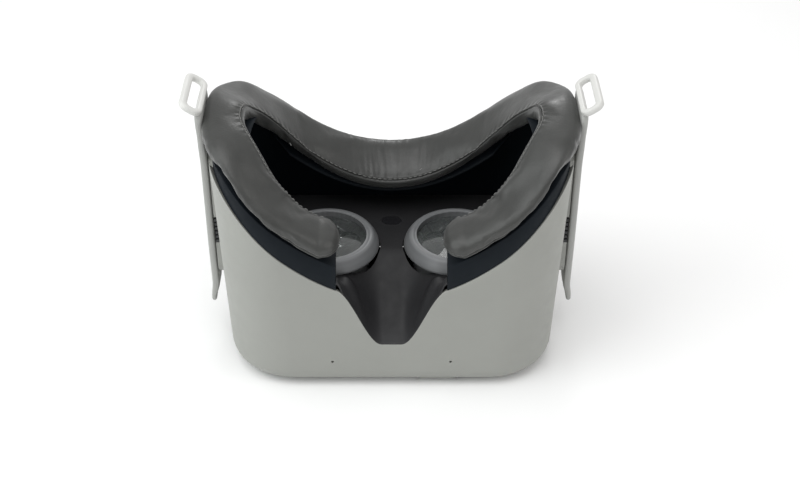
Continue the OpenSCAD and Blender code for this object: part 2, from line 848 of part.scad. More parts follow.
// Clip plate: pull tab at the front, snap peg into the arm, strap loop at the rear.
module strap_clip() {
  h = clip_in;
  translate([h, 0, 0]) rotate([90, 0, 90]) linear_extrude(clip_t) {
    polygon([[-7, 34], [7, 34], [9, 60], [9, 108], [15, 140], [13, 142.5], [-13, 142.5], [-15, 140],
      [-9, 108], [-9, 60]]);
  }
  rotate([90, 0, 0]) translate([0, 0, -6.5]) linear_extrude(13)
    polygon([[h, 34.5], [h + clip_t, 34.5], [h + 5.8, 27], [h + 6.2, 22], [h + 4, 21], [h + 2.4, 25]]);
  translate([arm_in + 0.6, 0, peg_z]) rotate([0, 90, 0]) cylinder(r = 1.5, h = 5, $fn = 32);
  strap_loop();
}

module strap_clip_right() {
  color(PALE) strap_clip();
}

module strap_clip_left() {
  color(PALE) mirror([1, 0, 0]) strap_clip();
}

// Slotted pan-head screw, its head resting at height z.
module screw(z, l) {
  translate([0, 0, z]) difference() {
    union() {
      cylinder(r = 2.1, h = 1.2, $fn = 32);
      translate([0, 0, 1 - l]) cylinder(r = screw_r, h = l, $fn = 24);
    }
    translate([-1.4, -0.25, 0.7]) cube([2.8, 0.5, 2]);
  }
}

module front_screws() {
  color(STEEL) four_ways(boss_x, boss_y) screw(chassis_z + chassis_t, 8);
}

module panel_screws() {
  color(STEEL) four_ways(post_x, post_y) screw(panel_z, 5);
}

module display_cable() {
  color([0.75, 0.5, 0.2]) {
    block([-12, 12], [cable_y, cable_y + film_t], [11.8, 27.5]);
    block([-12, 12], [cable_y, -34.5], [27.5 - film_t, 27.5]);
    block([-12, 12], [cable_y, -29.5], [11.8, 11.8 + film_t]);
  }
}

module camera_cables() {
  color([0.75, 0.5, 0.2]) both_sides() for (y = [-cam_y, cam_y - 4])
    block([51, 55], [y, y + 4], [11.8, 11.8 + film_t]);
}

front_plate();
body_shell();
lens_panel();
interface_frame();
face_foam();
lens_carriage_right();
lens_carriage_left();
lens_right();
lens_left();
ipd_rods();
ipd_bracket_upper();
ipd_bracket_lower();
ipd_pinion();
proximity_window();
proximity_board();
chassis();
display_bracket();
display_panel();
battery();
battery_strap();
main_board();
shield_can();
heat_sink();
heat_pipe();
fan_housing();
fan_rotor();
camera_upper_right();
camera_upper_left();
camera_lower_right();
camera_lower_left();
camera_glass();
volume_rocker();
volume_board();
power_button();
power_board();
status_light();
usb_port();
audio_jack();
microphones();
arm_right();
arm_left();
arm_cover_right();
arm_cover_left();
arm_boot_right();
arm_boot_left();
speaker_right();
speaker_left();
hinge_pin_right();
hinge_pin_left();
hinge_clip_right();
hinge_clip_left();
strap_clip_right();
strap_clip_left();
front_screws();
panel_screws();
display_cable();
camera_cables();
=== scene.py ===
import json
import math
import bpy
import bmesh
from mathutils import Matrix, Vector, kdtree, noise


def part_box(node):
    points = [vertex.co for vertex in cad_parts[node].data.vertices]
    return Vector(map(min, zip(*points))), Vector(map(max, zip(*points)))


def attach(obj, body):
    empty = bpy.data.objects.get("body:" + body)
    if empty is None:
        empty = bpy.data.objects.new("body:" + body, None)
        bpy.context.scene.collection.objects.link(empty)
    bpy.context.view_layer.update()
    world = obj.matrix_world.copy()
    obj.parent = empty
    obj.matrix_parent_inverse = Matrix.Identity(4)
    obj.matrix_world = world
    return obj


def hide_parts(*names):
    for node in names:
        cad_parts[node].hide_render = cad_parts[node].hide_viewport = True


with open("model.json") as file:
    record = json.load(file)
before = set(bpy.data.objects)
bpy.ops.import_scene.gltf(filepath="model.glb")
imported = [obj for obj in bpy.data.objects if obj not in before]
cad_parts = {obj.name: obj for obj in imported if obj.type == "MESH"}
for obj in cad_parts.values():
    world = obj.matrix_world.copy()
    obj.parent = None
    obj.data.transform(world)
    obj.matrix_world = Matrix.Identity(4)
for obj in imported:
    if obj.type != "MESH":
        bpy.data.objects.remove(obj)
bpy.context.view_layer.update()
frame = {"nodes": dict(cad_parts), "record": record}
MM = 0.001


# ---------------------------------------------------------------- sizes, in millimetres
def corner(node, end):
    return [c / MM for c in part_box(node)[end]]


def middle(node, axis):
    return (corner(node, 0)[axis] + corner(node, 1)[axis]) / 2


# Housing: outline, lower edge rounding, side flare, wall, and the rim's heights
BODY_X = 85
BODY_Y = corner("body_shell", 1)[1]
SEAM_Z = corner("body_shell", 0)[2]
SEAM_GAP = 0.15
EDGE_R = 12
CORNER_R = 34
CORE_X = BODY_X - CORNER_R
CORE_Y = BODY_Y - CORNER_R
FLARE = 4.5
FORM_TOP = 126
WALL = 2.2
INNER_X = BODY_X + 0.5
SIDE_X = 89.5
RIM_SIDE_Z = 122
RIM_CHIN_Z = 56.8
RIM_BROW_Z = 66
NOSE_HALF = 28
NOSE_Z = 28.7
MIC_X = 30.3
MIC_Z = 17
VENTS = 11
VENT_PITCH = 6
VENT_Z = 23
# Side arms and strap clips
POCKET_X = corner("arm_right", 0)[0] - 0.3
PIVOT_Z = corner("arm_right", 0)[2] + 8
PIVOT_R = 9
CLIP_IN = 91.4
CLIP_T = 4
CLIP_LOW_Z = 21.4
CLIP_TOP_Z = 142.2
LOOP_X = CLIP_IN + 2.5
LOOP_Z = 141.5
# Face interface and its seat for the pad
SEAT_LIP = 2.4
SEAT_X = corner("interface_frame", 1)[0] - SEAT_LIP
SEAT_Y = corner("interface_frame", 1)[1] - SEAT_LIP
SEAT_BASE_Z = corner("interface_frame", 0)[2]
SEAT_R = 31.4
SEAT_CHIN_Z = 72.2
SEAT_BROW_LIFT = 10
TEMPLE_DROP = 8
SEAT_KNEE = 80
FLANGE_CHIN = 11
FLANGE_BROW = 18
TIP_X = 27.5
# Lens panel, lens units and sensor
PANEL_Z = SEAT_BASE_Z - 0.4
PANEL_T = 1.8
POST_X = 70
POST_Y = 26
SLOT_R = 23.2
TRAVEL = 5
SENSOR_Y = 22
LENS_X = middle("lens_right", 0)
LENS_Y = middle("lens_right", 1)
LENS_R = (corner("lens_right", 1)[0] - corner("lens_right", 0)[0]) / 2
LENS_Z = corner("lens_right", 0)[2]
BARREL_R = 24.9
SKIRT_R = BARREL_R + 2.5
BARREL_TOP = corner("lens_carriage_right", 1)[2]
# Foam pad: thickness, tips, and its outer and inner edge (half x, half y, chin radius, brow radius)
FOAM_T = 12
FOAM_N = 36
FOAM_TIP_X = 25.5
TIP_R = 10
PAD_OUTER = (91.5, 53.4, 44, 40)
PAD_INNER = (72, 29.5, 26, 28)
STATIONS = (9, 32, 9, 28, 24)
# Seams of the cover: place round the section, then depth
OUTER_SEAM = (0.225, 0.7)
INNER_SEAM = (0.665, 0.5)
UP = (0, 0, 1)


def smooth(t):
    t = min(max(t, 0.0), 1.0)
    return t * t * (3 - 2 * t)


def mix(a, b, t):
    return a + (b - a) * t


def rim_chin(x):
    """Height of the housing's rim on the chin side."""
    return mix(RIM_CHIN_Z, RIM_SIDE_Z, (abs(x) / SIDE_X) ** 2)


def rim_brow(x):
    return mix(RIM_BROW_Z, RIM_SIDE_Z, (abs(x) / SIDE_X) ** 2)


def notch(x):
    if abs(x) >= NOSE_HALF:
        return rim_chin(x)
    return mix(NOSE_Z, rim_chin(NOSE_HALF), smooth((abs(x) - 5) / (NOSE_HALF - 5)))


def seat_z(x, y):
    """Height of the seat under the pad: up at the sides and brow, dipping at the temples."""
    run = min(abs(x), SEAT_KNEE) + max(abs(x) - SEAT_KNEE, 0) * 0.3
    drop = TEMPLE_DROP * smooth((abs(x) - 50) / 40) * smooth((y + 3) / 40)
    return SEAT_CHIN_Z + SEAT_BROW_LIFT * smooth((y + 30) / 70) + 0.0078 * run * run - drop


def seat_tilt(y):
    """Angle by which the seat falls inwards, in radians: outwards at the chin, inwards at the brow."""
    if y < 0:
        return math.radians(mix(-9, 0, smooth((y + 50) / 50)))
    return math.radians(mix(0, 30, smooth(y / 50)))


def flange_w(y):
    return mix(FLANGE_CHIN, FLANGE_BROW, smooth((y + 45) / 70))


# ---------------------------------------------------------------- mesh helpers
def new_object(name, verts, faces, smooth_faces=True):
    mesh = bpy.data.meshes.new(name)
    mesh.from_pydata([Vector(v) * MM for v in verts], [], faces)
    mesh.validate()
    obj = bpy.data.objects.new(name, mesh)
    bpy.context.scene.collection.objects.link(obj)
    bm = bmesh.new()
    bm.from_mesh(mesh)
    bmesh.ops.recalc_face_normals(bm, faces=bm.faces)
    bm.to_mesh(mesh)
    bm.free()
    for p in mesh.polygons:
        p.use_smooth = smooth_faces
    return obj


def loft(name, rings, close=False):
    """Solid through rings of points with fanned ends; close joins the last ring to the first instead."""
    n, m = len(rings[0]), len(rings)
    faces = []
    for i in range(m if close else m - 1):
        for j in range(n):
            k, a, b = (j + 1) % n, i * n, ((i + 1) % m) * n
            faces.append((a + j, a + k, b + k, b + j))
    verts = [p for r in rings for p in r]
    if not close:
        for base, ring in ((0, rings[0]), ((m - 1) * n, rings[-1])):
            mid = [sum(p[c] for p in ring) / n for c in range(3)]
            verts.append(mid)
            faces += [(base + j, base + (j + 1) % n, len(verts) - 1) for j in range(n)]
    return new_object(name, verts, faces)


def lathe(name, profile, centre, steps=128):
    """Closed profile of (radius, height) pairs turned about Z."""
    rings = []
    for i in range(steps):
        a = 2 * math.pi * i / steps
        rings.append([(centre[0] + r * math.cos(a), centre[1] + r * math.sin(a), z) for r, z in profile])
    return loft(name, rings, close=True)


def apply_modifiers(obj):
    bpy.context.view_layer.update()
    graph = bpy.context.evaluated_depsgraph_get()
    mesh = bpy.data.meshes.new_from_object(obj.evaluated_get(graph))
    old = obj.data
    obj.modifiers.clear()
    obj.data = mesh
    bpy.data.meshes.remove(old)


def sharpen(obj, degrees=32):
    for p in obj.data.polygons:
        p.use_smooth = True
    obj.data.set_sharp_from_angle(angle=math.radians(degrees))


def bevel(obj, width, segments=3, degrees=40):
    m = obj.modifiers.new("edge", "BEVEL")
    m.width = width * MM
    m.segments = segments
    m.limit_method = "ANGLE"
    m.angle_limit = math.radians(degrees)
    m.harden_normals = False
    return m


def cut(obj, cutters):
    """Take the cutters out of obj, one exact boolean each, and drop them."""
    for c in cutters:
        m = obj.modifiers.new("cut", "BOOLEAN")
        m.operation = "DIFFERENCE"
        m.solver = "EXACT"
        m.object = c
        c.hide_render = True
    apply_modifiers(obj)
    for c in cutters:
        bpy.data.objects.remove(c)


def box_cutter(lo, hi):
    v = [(x, y, z) for x in (lo[0], hi[0]) for y in (lo[1], hi[1]) for z in (lo[2], hi[2])]
    f = [(0, 1, 3, 2), (4, 6, 7, 5), (0, 4, 5, 1), (2, 3, 7, 6), (0, 2, 6, 4), (1, 5, 7, 3)]
    return new_object("cutter", v, f, False)


def tube_cutter(centre, axis, r, length, steps=48, stretch=0.0, along=(0, 0, 1)):
    """Cylinder, or a slot when stretch is given, whose far ends lie length each way."""
    axis, along = Vector(axis).normalized(), Vector(along)
    side = axis.cross(along).normalized()
    rings = []
    for end in (-length, length):
        ring = []
        for i in range(steps):
            a = 2 * math.pi * i / steps
            push = stretch * (1 if math.sin(a) > 0 else -1)
            p = Vector(centre) + axis * end + side * (r * math.cos(a)) + along * (r * math.sin(a) + push)
            ring.append(tuple(p))
        rings.append(ring)
    return loft("cutter", rings)


def extrude_outline(name, points, axis_x0, axis_x1):
    """Prism along X of an outline given in (y, z)."""
    rings = [[(x, y, z) for y, z in points] for x in (axis_x0, axis_x1)]
    n = len(points)
    verts = rings[0] + rings[1]
    faces = [tuple(range(n)), tuple(range(2 * n - 1, n - 1, -1))]
    faces += [(j, (j + 1) % n, n + (j + 1) % n, n + j) for j in range(n)]
    return new_object(name, verts, faces)


# ---------------------------------------------------------------- the path round the face
def arc_run(cx, cy, r, a0, n):
    out = []
    for i in range(n + 1):
        a = math.radians(a0 + 90 * i / n)
        out.append((cx + r * math.cos(a), cy + r * math.sin(a), math.cos(a), math.sin(a)))
    return out


def line_run(a, b, n):
    return [tuple(mix(a[k], b[k], i / n) for k in range(4)) for i in range(1, n)]


def half_path(x0, hx, hy, r, step=2.0):
    cx, cy = hx - r, hy - r
    flat = lambda a, b: line_run(a, b, max(2, round(math.dist(a[:2], b[:2]) / step)))
    turn = max(6, round(r * math.pi / 2 / step))
    return (
        [(x0, -hy, 0, -1)] + flat((x0, -hy, 0, -1), (cx, -hy, 0, -1))
        + arc_run(cx, -cy, r, -90, turn) + flat((hx, -cy, 1, 0), (hx, cy, 1, 0))
        + arc_run(cx, cy, r, 0, turn) + flat((cx, hy, 0, 1), (0, hy, 0, 1)) + [(0, hy, 0, 1)]
    )


def whole_path(x0, step=2.0):
    half = half_path(x0, SEAT_X, SEAT_Y, SEAT_R, step)
    return half + [(-p[0], p[1], -p[2], p[3]) for p in reversed(half[:-1])]


def placed(p, section):
    return [(p[0] + o * p[2], p[1] + o * p[3], z) for o, z in section]


# ---------------------------------------------------------------- materials
def nodes_of(name):
    mat = bpy.data.materials.new(name)
    mat.use_nodes = True
    nt = mat.node_tree
    return mat, nt, nt.nodes["Principled BSDF"]


def coords(nt):
    return nt.nodes.new("ShaderNodeTexCoord").outputs["Object"]


def noise_tex(nt, scale, detail=4.0, rough=0.55, source=None):
    n = nt.nodes.new("ShaderNodeTexNoise")
    n.inputs["Scale"].default_value = scale
    n.inputs["Detail"].default_value = detail
    n.inputs["Roughness"].default_value = rough
    nt.links.new(source or coords(nt), n.inputs["Vector"])
    return n.outputs["Fac"]


def ramp(nt, source, stops):
    r = nt.nodes.new("ShaderNodeValToRGB")
    while len(r.color_ramp.elements) < len(stops):
        r.color_ramp.elements.new(0.5)
    for e, (pos, col) in zip(r.color_ramp.elements, stops):
        e.position = pos
        e.color = (*col, 1) if isinstance(col, tuple) else (col, col, col, 1)
    nt.links.new(source, r.inputs["Fac"])
    return r.outputs["Color"]


def bump(nt, bsdf, source, strength, distance, below=None):
    b = nt.nodes.new("ShaderNodeBump")
    b.inputs["Strength"].default_value = strength
    b.inputs["Distance"].default_value = distance
    nt.links.new(source, b.inputs["Height"])
    if below:
        nt.links.new(below, b.inputs["Normal"])
    nt.links.new(b.outputs["Normal"], bsdf.inputs["Normal"])
    return b.outputs["Normal"]


def shades(colour, spread):
    return tuple(max(c * (1 - spread), 0) for c in colour), tuple(min(c * (1 + spread), 1) for c in colour)


def plastic(name, colour, rough, grain=1500.0, grain_depth=0.00002, spread=0.05, wear=0.06, specular=0.5):
    """Moulded plastic: fine spark-eroded grain, faint tone drift, paler worn edges."""
    mat, nt, bsdf = nodes_of(name)
    low, high = shades(colour, spread)
    tone = ramp(nt, noise_tex(nt, 28, 5), [(0.3, low), (0.7, high)])
    geo = nt.nodes.new("ShaderNodeNewGeometry")
    edge = ramp(nt, geo.outputs["Pointiness"], [(0.5, 0.0), (0.56, 1.0)])
    blend = nt.nodes.new("ShaderNodeMix")
    blend.data_type = "RGBA"
    blend.blend_type = "ADD"
    nt.links.new(tone, blend.inputs["A"])
    blend.inputs["B"].default_value = (wear, wear, wear, 1)
    nt.links.new(edge, blend.inputs["Factor"])
    nt.links.new(blend.outputs["Result"], bsdf.inputs["Base Color"])
    nt.links.new(ramp(nt, noise_tex(nt, 160, 3), [(0.3, rough * 0.86), (0.75, min(rough * 1.12, 1))]),
                 bsdf.inputs["Roughness"])
    bump(nt, bsdf, noise_tex(nt, grain, 2), 0.5, grain_depth)
    bsdf.inputs["Specular IOR Level"].default_value = specular
    return mat


def leather(name, colour):
    """Soft polyurethane leather: pebble grain, fine creases, a little sheen."""
    mat, nt, bsdf = nodes_of(name)
    low, high = shades(colour, 0.16)
    tone = ramp(nt, noise_tex(nt, 60, 6), [(0.28, low), (0.72, high)])
    nt.links.new(tone, bsdf.inputs["Base Color"])
    nt.links.new(ramp(nt, noise_tex(nt, 220, 4), [(0.3, 0.32), (0.7, 0.44)]), bsdf.inputs["Roughness"])
    cells = nt.nodes.new("ShaderNodeTexVoronoi")
    cells.feature = "SMOOTH_F1"
    cells.inputs["Scale"].default_value = 1100
    nt.links.new(coords(nt), cells.inputs["Vector"])
    grain = bump(nt, bsdf, cells.outputs["Distance"], 0.35, 0.00012)
    bump(nt, bsdf, noise_tex(nt, 420, 5, 0.6), 0.4, 0.00010, grain)
    bsdf.inputs["Specular IOR Level"].default_value = 0.45
    bsdf.inputs["Sheen Weight"].default_value = 0.15
    bsdf.inputs["Sheen Roughness"].default_value = 0.4
    return mat


def metal(name, colour, rough):
    """Brushed or cast metal with fine streaks."""
    mat, nt, bsdf = nodes_of(name)
    mapping = nt.nodes.new("ShaderNodeMapping")
    mapping.inputs["Scale"].default_value = (1, 14, 14)
    nt.links.new(coords(nt), mapping.inputs["Vector"])
    streak = noise_tex(nt, 260, 4, 0.6, mapping.outputs["Vector"])
    low, high = shades(colour, 0.10)
    nt.links.new(ramp(nt, streak, [(0.3, low), (0.7, high)]), bsdf.inputs["Base Color"])
    nt.links.new(ramp(nt, streak, [(0.3, rough * 0.8), (0.7, rough * 1.2)]), bsdf.inputs["Roughness"])
    bump(nt, bsdf, streak, 0.2, 0.00002)
    bsdf.inputs["Metallic"].default_value = 1.0
    return mat


def lens_glass(name):
    """Clear moulded lens with a faint milky scatter, as fine grooves give."""
    mat, nt, bsdf = nodes_of(name)
    haze = ramp(nt, noise_tex(nt, 90, 3), [(0.3, (0.50, 0.54, 0.53)), (0.7, (0.64, 0.68, 0.67))])
    nt.links.new(haze, bsdf.inputs["Base Color"])
    nt.links.new(ramp(nt, noise_tex(nt, 300, 2), [(0.3, 0.02), (0.7, 0.05)]), bsdf.inputs["Roughness"])
    bump(nt, bsdf, noise_tex(nt, 500, 2), 0.05, 0.00001)
    bsdf.inputs["Transmission Weight"].default_value = 0.92
    bsdf.inputs["IOR"].default_value = 1.49
    bsdf.inputs["Coat Weight"].default_value = 1.0
    bsdf.inputs["Coat Roughness"].default_value = 0.02
    return mat


def board(name):
    """Circuit board: green mask with copper tracks showing as a faint grid."""
    mat, nt, bsdf = nodes_of(name)
    brick = nt.nodes.new("ShaderNodeTexBrick")
    brick.inputs["Scale"].default_value = 260
    brick.inputs["Color1"].default_value = (0.02, 0.10, 0.05, 1)
    brick.inputs["Color2"].default_value = (0.03, 0.13, 0.07, 1)
    brick.inputs["Mortar"].default_value = (0.10, 0.20, 0.08, 1)
    nt.links.new(coords(nt), brick.inputs["Vector"])
    nt.links.new(brick.outputs["Color"], bsdf.inputs["Base Color"])
    nt.links.new(ramp(nt, noise_tex(nt, 90), [(0.3, 0.32), (0.7, 0.48)]), bsdf.inputs["Roughness"])
    bump(nt, bsdf, brick.outputs["Fac"], 0.3, 0.00004)
    return mat


MATERIALS = {
    "shell": plastic("shell_plastic", (0.29, 0.295, 0.274), 0.52, wear=0.03, spread=0.025),
    "pale": plastic("pale_plastic", (0.60, 0.60, 0.58), 0.42, wear=0.03, spread=0.02),
    "dark": plastic("dark_plastic", (0.021, 0.021, 0.0225), 0.55, grain_depth=0.00004, wear=0.006, spread=0.1,
                    specular=0.25),
    "interface": plastic("interface_plastic", (0.005, 0.008, 0.0115), 0.58, wear=0.003, spread=0.12,
                         specular=0.12),
    "foam": leather("cover_leather", (0.040, 0.041, 0.039)),
    "lens_ring": plastic("ring_plastic", (0.16, 0.165, 0.17), 0.42, wear=0.03, spread=0.05),
    "lens": lens_glass("lens_acrylic"),
    "black_gloss": plastic("gloss_black", (0.012, 0.012, 0.014), 0.12, grain_depth=0.000004, wear=0.004),
    "steel": metal("brushed_steel", (0.60, 0.61, 0.63), 0.3),
    "black_steel": metal("coated_steel", (0.035, 0.035, 0.038), 0.4),
    "copper": metal("plain_copper", (0.72, 0.42, 0.26), 0.28),
    "board": board("board_green"),
    "magnesium": metal("cast_magnesium", (0.40, 0.41, 0.43), 0.5),
    "polyimide": plastic("flex_film", (0.50, 0.26, 0.06), 0.35, wear=0.02),
    "battery_wrap": plastic("battery_film", (0.045, 0.045, 0.05), 0.35, wear=0.01),
    "boot": plastic("boot_rubber", (0.030, 0.031, 0.033), 0.7, grain_depth=0.00006, wear=0.01),
    "screen": plastic("screen_glass", (0.010, 0.010, 0.014), 0.08, grain_depth=0.000003, wear=0.002),
}


# Darker copy of the pale plastic for the clip plates: painted shade for the shade on the plates' outer faces,
# while the loops keep the lit pale plastic.
STRIP_PAINTED_SHADE = plastic("strip_plastic_painted_shade", (0.36, 0.365, 0.35), 0.46, wear=0.02, spread=0.03)


def dress(obj, slot_name, body, *replaced):
    """Material, slot, body and CAD nodes of one finished piece."""
    obj.data.materials.clear()
    obj.data.materials.append(MATERIALS[slot_name])
    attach(obj, body)
    if replaced:
        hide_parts(*replaced)
    return obj


# ---------------------------------------------------------------- housing
def outline_stations():
    """Round the housing: corner-centre x and y, then the outward normal."""
    chin = [(x * 1.0, -CORE_Y, 0.0, -1.0) for x in range(0, 36)]
    chin += [(mix(36, CORE_X, i / 8), -CORE_Y, 0.0, -1.0) for i in range(8)]
    turn = 40
    quarter = [math.pi / 2 * i / turn for i in range(turn + 1)]
    low = [(CORE_X, -CORE_Y, math.sin(a), -math.cos(a)) for a in quarter]
    side = [(CORE_X, mix(-CORE_Y, CORE_Y, i / 18), 1.0, 0.0) for i in range(1, 18)]
    high = [(CORE_X, CORE_Y, math.cos(a), math.sin(a)) for a in quarter]
    brow = [(mix(CORE_X, 0, i / 30), CORE_Y, 0.0, 1.0) for i in range(1, 31)]
    right = chin + low + side + high + brow
    return right + [(-p[0], p[1], -p[2], p[3]) for p in reversed(right[1:-1])]


def outer_point(p, z):
    """The station p at height z on the rounded, flaring outer face."""
    grow = 1 + FLARE * max(0, z - EDGE_R) / (FORM_TOP - EDGE_R) / CORE_X
    r = CORNER_R
    if z < EDGE_R:
        r -= EDGE_R - math.sqrt(max(EDGE_R ** 2 - (EDGE_R - z) ** 2, 0))
    return (p[0] * grow + p[2] * r, p[1] + p[3] * r, z)


def inner_point(p, z):
    """The station p on the inside of the wall, upright above mid height."""
    t = min(max((z - EDGE_R) / 38, 0), 1)
    grow = 1 + mix(0, INNER_X - BODY_X + WALL, t) / CORE_X
    r = CORNER_R - WALL
    return (p[0] * grow + p[2] * r, p[1] + p[3] * r, z)


def rim_top(p):
    """Rim height where the station's outer face meets the rim curve."""
    z = RIM_BROW_Z
    for _ in range(12):
        x = outer_point(p, z)[0]
        z = rim_brow(x) if p[3] > 0 or (p[3] == 0 and p[1] > 0) else notch(x)
    return z


def make_shell():
    rings = []
    fillet = [SEAM_Z + SEAM_GAP + (EDGE_R - SEAM_Z) * i / 12 for i in range(12)]
    for p in outline_stations():
        top = rim_top(p)
        column = [outer_point(p, z) for z in fillet]
        column += [outer_point(p, mix(EDGE_R, top - 0.6, i / 44)) for i in range(45)]
        a, b = outer_point(p, top), inner_point(p, top)
        at_nose = abs(p[0]) < NOSE_HALF and p[3] < 0
        inner_top = top if at_nose else top - (rim_brow(a[0]) - rim_brow(b[0]))
        across = lambda t, drop: (mix(a[0], b[0], t), mix(a[1], b[1], t), mix(top, inner_top, t) - drop)
        lip = ((0.05, 0.22), (0.16, 0.03), (0.3, 0), (0.8, 0), (0.93, 0.1), (1, 0.5))
        column += [across(t, drop) for t, drop in lip]
        column += [inner_point(p, mix(inner_top - 0.6, 14, i / 8)) for i in range(1, 9)]
        low = outer_point(p, SEAM_Z + SEAM_GAP)
        column.append((low[0] - p[2] * 1.6, low[1] - p[3] * 1.6, SEAM_Z + SEAM_GAP))
        rings.append(column)
    obj = loft("shell_skin", rings, close=True)
    cutters = []
    for s in (-1, 1):
        fan = [(-PIVOT_R, PIVOT_Z), (-26, 130), (26, 130), (PIVOT_R, PIVOT_Z)]
        turns = [-math.pi * i / 24 for i in range(1, 24)]
        arc = [(PIVOT_R * math.cos(a), PIVOT_Z + PIVOT_R * math.sin(a)) for a in turns]
        cutters.append(extrude_outline("cutter", fan + arc, s * POCKET_X, s * (POCKET_X + 20)))
        cutters.append(tube_cutter((s * BODY_X, 0, PIVOT_Z), (1, 0, 0), 3.1, 8))
        cutters.append(tube_cutter((s * MIC_X, -BODY_Y, MIC_Z), (0, 1, 0), 0.75, 6, 24))
    for i in range(VENTS):
        x = (i - (VENTS - 1) / 2) * VENT_PITCH
        cutters.append(tube_cutter((x, BODY_Y, VENT_Z), (0, 1, 0), 1.0, 6, 24, 8, UP))
    z = middle("power_button", 2)
    cutters.append(tube_cutter((BODY_X, 0, z), (1, 0, 0), 4.35, 8))
    cutters.append(tube_cutter((BODY_X, middle("status_light", 1), z), (1, 0, 0), 1.15, 8, 24))
    for node, r, stretch in (("audio_jack", 3.15, 0), ("usb_port", 1.8, 2.95)):
        y = middle(node, 1)
        cutters.append(tube_cutter((-BODY_X, y, z), (1, 0, 0), r, 8, 48, stretch, (0, 1, 0)))
    lo, hi = corner("volume_rocker", 0), corner("volume_rocker", 1)
    well = box_cutter((lo[0] - 1, -9, -3.2), (hi[0] + 1, 9, 3.2))
    tilt = Matrix.Rotation(math.radians(56), 4, "X")
    centre = Vector((0, -BODY_Y + EDGE_R, EDGE_R)) * MM
    well.data.transform(Matrix.Translation(centre) @ tilt @ Matrix.Translation((0, -EDGE_R * MM, 0)))
    cutters.append(well)
    cut(obj, cutters)
    sharpen(obj)
    return dress(obj, "shell", "housing", "body_shell")


# ---------------------------------------------------------------- lens-side panel
def panel_height(x, y):
    """Flat round the lenses; a smooth nose channel with a soft fold and a raised ear on each side."""
    ax = abs(x)
    flap = 1 - smooth((ax - 27) / 4)
    rise = smooth((-y - 27) / 22)
    shoulder = mix(PANEL_Z, rim_chin(min(ax, NOSE_HALF)) + 0.1, rise * flap)
    run = min(max((-y - 7) / (BODY_Y - 7.4), 0), 1)
    fold_x = mix(24, 15.5, min(max((-y - 27) / 20, 0), 1))
    fold = smooth((ax - fold_x + 4.5) / 4.5) * (1 - smooth((ax - fold_x) / 7))
    fold *= smooth((-y - 26.5) / 6) * (1 - smooth((-y - 42) / 7))
    ear = smooth((ax - 23.0) / 4.0) * smooth((-y - 40) / 6) * flap
    level = shoulder - (rim_chin(x) - notch(x)) * run ** 1.1 + 3.4 * fold + 5.5 * ear
    clear = math.dist((ax, y), (min(max(ax, LENS_X - TRAVEL), LENS_X), LENS_Y)) - SKIRT_R - 0.5
    return level if level < PANEL_Z else mix(PANEL_Z, level, smooth(clear / 4))


def panel_high_y(x):
    hx, hy, r = SEAT_X - 0.2, SEAT_Y, SEAT_R
    over = abs(x) - (hx - r)
    return hy if over <= 0 else hy - r + math.sqrt(max(r * r - over * over, 0))


def panel_low_y(x):
    """Chin side edge of the panel: out through the notch, else inside the wall."""
    return mix(panel_high_y(x), BODY_Y - 0.15, 1 - smooth((abs(x) - 27.4) / 0.9))


def make_panel():
    half, rows = SEAT_X - 0.3, 72
    xs = [-half + (2 * half) * i / 150 for i in range(151)]
    near_notch = [s * (26.8 + 0.4 * i) for i in range(7) for s in (-1, 1)]
    xs = sorted(set([x for x in xs if abs(abs(x) - NOSE_HALF) > 1.5] + near_notch))
    verts, faces = [], []
    for x in xs:
        a, b = -panel_low_y(x), panel_high_y(x)
        for j in range(rows):
            y = mix(a, b, j / (rows - 1))
            verts.append((x, y, panel_height(x, y)))
    top = len(verts)
    verts += [(x, y, z - PANEL_T) for x, y, z in verts]
    n = len(xs)
    for i in range(n - 1):
        for j in range(rows - 1):
            q = (i * rows + j, (i + 1) * rows + j, (i + 1) * rows + j + 1, i * rows + j + 1)
            faces.append(q)
            faces.append(tuple(top + k for k in reversed(q)))
    edge = [i * rows for i in range(n)] + [(n - 1) * rows + j for j in range(1, rows)]
    edge += [i * rows + rows - 1 for i in range(n - 2, -1, -1)] + [j for j in range(rows - 2, 0, -1)]
    for k in range(len(edge)):
        a, b = edge[k], edge[(k + 1) % len(edge)]
        faces.append((a, b, top + b, top + a))
    obj = new_object("lens_panel_skin", verts, faces)
    cutters = [tube_cutter((s * (LENS_X - TRAVEL / 2), LENS_Y, PANEL_Z), UP, SLOT_R, 30, 128,
                           TRAVEL / 2, (1, 0, 0)) for s in (-1, 1)]
    cutters.append(tube_cutter((0, SENSOR_Y, PANEL_Z), UP, 4.2, 8, 64, 1.3, (1, 0, 0)))
    posts = [(sx * POST_X, sy * POST_Y, PANEL_Z) for sx in (-1, 1) for sy in (-1, 1)]
    cutters += [tube_cutter(post, UP, 2.3, 8, 24) for post in posts]
    cut(obj, cutters)
    sharpen(obj, 28)
    return dress(obj, "dark", "housing", "lens_panel")


